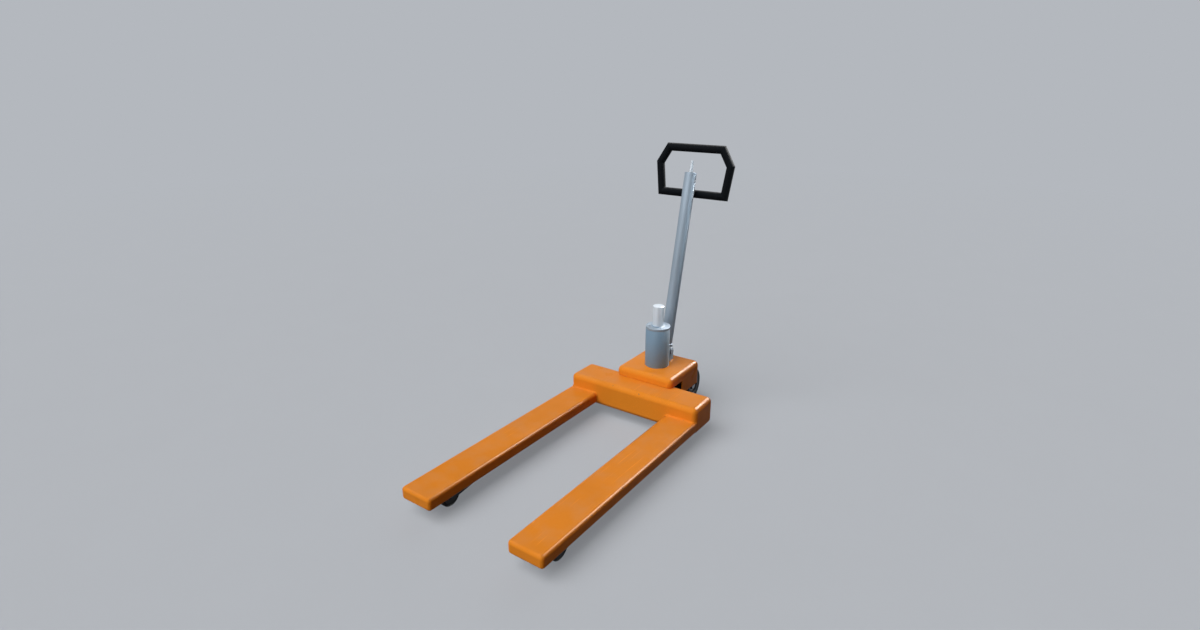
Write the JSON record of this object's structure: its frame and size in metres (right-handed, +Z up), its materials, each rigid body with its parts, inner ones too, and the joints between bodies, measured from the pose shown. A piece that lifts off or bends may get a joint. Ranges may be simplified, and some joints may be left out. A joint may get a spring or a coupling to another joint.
{
  "type": "manual pallet jack",
  "caption": "Hand pallet truck: channel forks on a crossbar, hydraulic lift post and tilting tube handle with a grip loop, steering wheels behind and load rollers in the fork tips.",
  "frame": {"origin": "on the floor, in the middle of the footprint box, with the forks lowered and the handle upright", "axes": "+Z up, -Y along the forks towards their tips, +Y towards the operator, +X the operator's left"},
  "size_m": [0.685, 1.632, 1.2547],
  "materials": {
    "orange_paint": "gloss enamel over steel, worn at the edges",
    "grey_paint": "smooth grey enamel over steel",
    "tube_paint": "pale grey enamel over steel tube",
    "bright_steel": "ground and plated",
    "machined_steel": "turned steel",
    "dark_iron": "blackened casting",
    "bronze": "bearing bronze",
    "black_tread": "solid black tread",
    "black_grip": "black plastic coating"
  },
  "bodies": {
    "fork_frame": {"crossbar": "orange_paint", "fork_left": "orange_paint", "fork_right": "orange_paint", "tongue": "orange_paint", "kingpin_bush": "bronze", "bearing_plates": "orange_paint", "arm_brackets": "orange_paint", "arm_pins": "machined_steel"},
    "steering_head": {"base_housing": "orange_paint", "kingpin_sleeve": "machined_steel", "thrust_washer": "bronze", "ring_nut": "machined_steel", "lift_cylinder": "grey_paint", "cylinder_cap": "tube_paint", "cylinder_bolts": "machined_steel", "handle_clevis": "grey_paint", "handle_pin": "machined_steel", "pump_barrel": "machined_steel", "release_valve": "machined_steel", "guide_sleeves": "machined_steel", "pump_spring": "machined_steel"},
    "wheel_carriage": {"lift_ram": "bright_steel", "ram_piston": "machined_steel", "groove_collar": "machined_steel", "axle_carriage": "dark_iron", "ram_nut": "machined_steel", "guide_rods": "bright_steel", "steer_axle": "machined_steel", "axle_caps": "dark_iron"},
    "rocker": {"rocker_shaft": "machined_steel", "rocker_lever": "dark_iron", "crank_arms": "dark_iron"},
    "handle": {"handle_tube": "tube_paint", "handle_foot": "grey_paint", "grip_loop": "black_grip", "loop_saddle": "black_grip", "tube_cap": "black_grip", "pump_roller_pin": "machined_steel", "lever_pin": "machined_steel"},
    "pump_plunger": {"pump_plunger": "bright_steel"},
    "pump_roller": {"pump_roller": "machined_steel"},
    "release_lever": {"release_lever": "bright_steel"},
    "release_rod": {"release_rod": "machined_steel"},
    "steer_wheel_left": {"steer_tyre_left": "black_tread", "steer_hub_left": "dark_iron", "steer_bearings_left": "machined_steel"},
    "push_rod_left": {"push_rod_left": "machined_steel"},
    "roller_arm_left": {"roller_arm_left": "dark_iron", "roller_axle_left": "dark_iron"},
    "load_roller_left": {"roller_tyre_left": "black_tread", "roller_core_left": "dark_iron"},
    "steer_wheel_right": {"steer_tyre_right": "black_tread", "steer_hub_right": "dark_iron", "steer_bearings_right": "machined_steel"},
    "push_rod_right": {"push_rod_right": "machined_steel"},
    "roller_arm_right": {"roller_arm_right": "dark_iron", "roller_axle_right": "dark_iron"},
    "load_roller_right": {"roller_tyre_right": "black_tread", "roller_core_right": "dark_iron"}
  },
  "joints": [
    {"name": "steering", "type": "hinge", "parent": "fork_frame", "child": "steering_head", "pos_m": [0, 0.48403, 0.15], "axis": [0, 0, 1], "range_deg": [-45, 45]},
    {"name": "lift", "type": "slide", "parent": "steering_head", "child": "wheel_carriage", "axis": [0, 0, -1], "range_m": [0, 0.09]},
    {"name": "rocker_swing", "type": "hinge", "parent": "fork_frame", "child": "rocker", "pos_m": [0, 0.29951, 0.115], "axis": [-1, 0, 0], "range_deg": [0, 27.41]},
    {"name": "handle_pump", "type": "hinge", "parent": "steering_head", "child": "handle", "pos_m": [0, 0.56603, 0.275], "axis": [-1, 0, 0], "range_deg": [0, 68], "stiffness_Nm_per_rad": 25, "springref_deg": -28.65},
    {"name": "plunger_stroke", "type": "slide", "parent": "steering_head", "child": "pump_plunger", "axis": [0, 0, -1], "range_m": [0, 0.03355], "deforming": ["pump_spring"]},
    {"name": "pump_roller_spin", "type": "hinge", "parent": "handle", "child": "pump_roller", "pos_m": [0, 0.5909, 0.29178], "axis": [1, 0, 0], "continuous": true},
    {"name": "release_pull", "type": "hinge", "parent": "handle", "child": "release_lever", "pos_m": [0, 0.7434, 1.08173], "axis": [-1, 0, 0], "range_deg": [-10, 15], "stiffness_Nm_per_rad": 0.8},
    {"name": "release_rod_slide", "type": "slide", "parent": "handle", "child": "release_rod", "axis": [0, 0.2147, 0.9767], "range_m": [-0.002, 0.003]},
    {"name": "steer_wheel_left_spin", "type": "hinge", "parent": "wheel_carriage", "child": "steer_wheel_left", "pos_m": [0.102, 0.62203, 0.092], "axis": [1, 0, 0], "continuous": true},
    {"name": "push_rod_left_slide", "type": "slide", "parent": "fork_frame", "child": "push_rod_left", "axis": [0, -1, 0], "range_m": [0, 0.01895]},
    {"name": "roller_arm_left_swing", "type": "hinge", "parent": "fork_frame", "child": "roller_arm_left", "pos_m": [0.2655, -0.52297, 0.068], "axis": [1, 0, 0], "range_deg": [0, 37.39]},
    {"name": "load_roller_left_spin", "type": "hinge", "parent": "roller_arm_left", "child": "load_roller_left", "pos_m": [0.2655, -0.67897, 0.045], "axis": [1, 0, 0], "continuous": true},
    {"name": "steer_wheel_right_spin", "type": "hinge", "parent": "wheel_carriage", "child": "steer_wheel_right", "pos_m": [-0.102, 0.62203, 0.092], "axis": [1, 0, 0], "continuous": true},
    {"name": "push_rod_right_slide", "type": "slide", "parent": "fork_frame", "child": "push_rod_right", "axis": [0, -1, 0], "range_m": [0, 0.01895]},
    {"name": "roller_arm_right_swing", "type": "hinge", "parent": "fork_frame", "child": "roller_arm_right", "pos_m": [-0.2655, -0.52297, 0.068], "axis": [1, 0, 0], "range_deg": [0, 37.39]},
    {"name": "load_roller_right_spin", "type": "hinge", "parent": "roller_arm_right", "child": "load_roller_right", "pos_m": [-0.2655, -0.67897, 0.045], "axis": [1, 0, 0], "continuous": true}
  ],
  "couplings": [
    {"joint": "rocker_swing", "follows": "lift", "rad_per_m": 5.3158},
    {"joint": "plunger_stroke", "follows": "handle_pump", "m_per_rad": 0.02827},
    {"joint": "release_rod_slide", "follows": "release_pull", "m_per_rad": 0.011},
    {"joint": "push_rod_left_slide", "follows": "lift", "ratio": 0.21061},
    {"joint": "roller_arm_left_swing", "follows": "lift", "rad_per_m": 7.2505},
    {"joint": "push_rod_right_slide", "follows": "lift", "ratio": 0.21061},
    {"joint": "roller_arm_right_swing", "follows": "lift", "rad_per_m": 7.2505}
  ]
}
